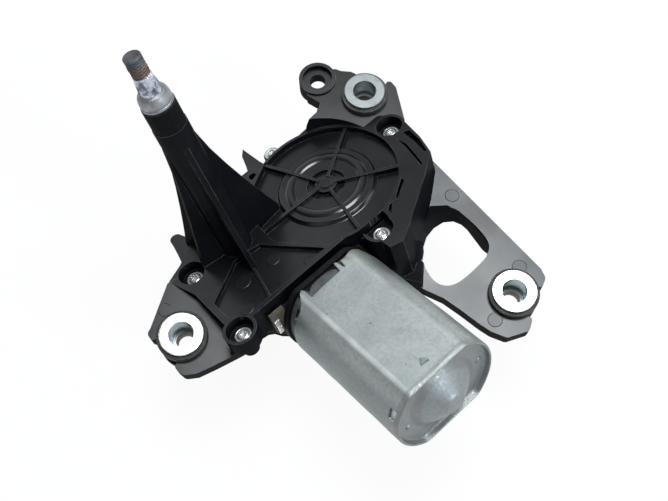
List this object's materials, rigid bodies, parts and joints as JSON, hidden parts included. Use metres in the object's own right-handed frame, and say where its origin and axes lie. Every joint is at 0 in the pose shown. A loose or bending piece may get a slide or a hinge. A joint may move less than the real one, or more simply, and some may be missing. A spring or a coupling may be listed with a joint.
{
  "type": "wiper motor",
  "caption": "Worm gearmotor for a rear wiper: black moulded gear case with a tall inclined spindle tower, drawn steel motor can and rubber-bushed fixing lugs.",
  "frame": {"origin": "centre of the seating ring of fixing bush A, on the plane that meets the vehicle panel", "axes": "+Z along the fixing bushes, out of the seating rings; +X towards the tail of the motor can; +Y towards fixing bush B. The spindle leans 20 degrees from +Z towards -X."},
  "size_m": [0.1878, 0.1825, 0.173],
  "materials": {
    "housing_plastic": "moulded semi-matte black",
    "cover_plastic": "moulded matte black",
    "gasket_rubber": "matte",
    "grommet_rubber": "worn dark brown-grey rubber",
    "zinc_steel": "bright zinc plating",
    "spindle_steel": "bare steel with light rust",
    "cap_metal": "dull silver",
    "can_steel": "dull zinc coated drawn steel",
    "bright_tab": "tinned",
    "card_brown": "brown insulating board",
    "gear_nylon": "natural nylon",
    "gear_steel": "machined",
    "bronze": "sintered",
    "ferrite": "dark ceramic magnet",
    "lamination": "stacked sheet",
    "copper": "enamelled wire",
    "carbon": "pressed carbon",
    "spring_steel": "spring",
    "choke_ferrite": "wound core",
    "socket_plastic": "moulded dark grey"
  },
  "bodies": {
    "case": {"gear_housing": "housing_plastic", "rear_cover": "cover_plastic", "cover_gasket": "gasket_rubber", "cover_screws": "zinc_steel", "fixing_sleeve_a": "zinc_steel", "fixing_sleeve_b": "zinc_steel", "fixing_sleeve_c": "zinc_steel", "rubber_grommet_a": "grommet_rubber", "rubber_grommet_b": "grommet_rubber", "rubber_grommet_c": "grommet_rubber", "lower_bush": "bronze", "upper_bush": "bronze", "spindle_seal": "gasket_rubber", "wheel_axle": "gear_steel", "axle_clip": "spring_steel", "motor_can": "can_steel", "motor_end_plate": "can_steel", "terminal_card": "card_brown", "motor_terminals": "bright_tab", "magnets": "ferrite", "magnet_clips": "spring_steel", "brush_plate": "card_brown", "brushes": "carbon", "brush_guides": "bronze", "brush_springs": "spring_steel", "front_bearing": "bronze", "tail_bearing": "bronze", "nose_bearing": "bronze", "chokes": "choke_ferrite", "park_contacts": "bronze", "connector_socket": "socket_plastic", "connector_pins": "bronze"},
    "armature": {"armature_shaft": "gear_steel", "armature_core": "lamination", "armature_windings": "copper", "commutator": "copper"},
    "wheel": {"worm_wheel": "gear_nylon", "crank_pin": "gear_steel", "park_disc": "bronze"},
    "spindle": {"output_spindle": "spindle_steel", "spindle_pinion": "gear_steel", "spindle_cap": "cap_metal"},
    "rocker": {"keeper_plate": "gear_steel", "sector_pin": "gear_steel"},
    "sector": {"sector_link": "gear_steel"}
  },
  "joints": [
    {"name": "armature_spin", "type": "hinge", "parent": "case", "child": "armature", "pos_m": [0.03401, 0.0659, -0.00571], "axis": [0.9397, 0, 0.342], "continuous": true},
    {"name": "wheel_spin", "type": "hinge", "parent": "case", "child": "wheel", "pos_m": [-0.00668, 0.1033, -0.02052], "axis": [-0.342, 0, 0.9397], "continuous": true},
    {"name": "spindle_sweep", "type": "hinge", "parent": "case", "child": "spindle", "pos_m": [-0.01691, 0.0491, -0.00616], "axis": [-0.342, 0, 0.9397], "range_deg": [-55, 55]},
    {"name": "rocker_swing", "type": "hinge", "parent": "case", "child": "rocker", "pos_m": [-0.00665, 0.0491, -0.03435], "axis": [-0.342, 0, 0.9397], "range_deg": [-18.5, 18.5]},
    {"name": "sector_turn", "type": "hinge", "parent": "rocker", "child": "sector", "pos_m": [0.0168, 0.05621, -0.02262], "axis": [-0.342, 0, 0.9397], "range_deg": [-18.5, 18.5]}
  ],
  "couplings": [
    {"joint": "wheel_spin", "follows": "armature_spin", "ratio": -0.016667},
    {"joint": "rocker_swing", "follows": "spindle_sweep", "ratio": 0.33333},
    {"joint": "sector_turn", "follows": "spindle_sweep", "ratio": -0.33333}
  ]
}
